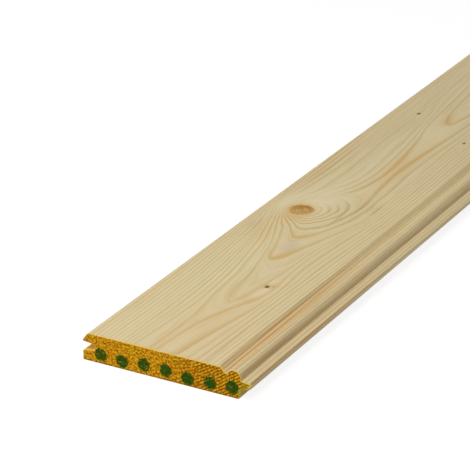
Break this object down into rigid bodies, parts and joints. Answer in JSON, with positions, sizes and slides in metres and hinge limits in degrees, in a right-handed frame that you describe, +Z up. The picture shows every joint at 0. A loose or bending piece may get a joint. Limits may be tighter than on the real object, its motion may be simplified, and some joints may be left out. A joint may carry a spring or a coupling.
{
  "type": "beaded tongue and groove board",
  "caption": "Planed softwood lining board with a grooved edge, a tongued edge and a bead beside the tongue; both edges of the show face are chamfered.",
  "frame": {"origin": "under the middle of the bounding box, on the flat back that the board lies on", "axes": "+Y along the board towards its unpainted end, +X across it towards the tongue, +Z up out of the show face"},
  "size_m": [0.095, 0.9, 0.015],
  "materials": {
    "planed_softwood": "planed and unfinished, with ochre paint on one cut end"
  },
  "bodies": {
    "root": {"board": "planed_softwood"}
  },
  "joints": []
}
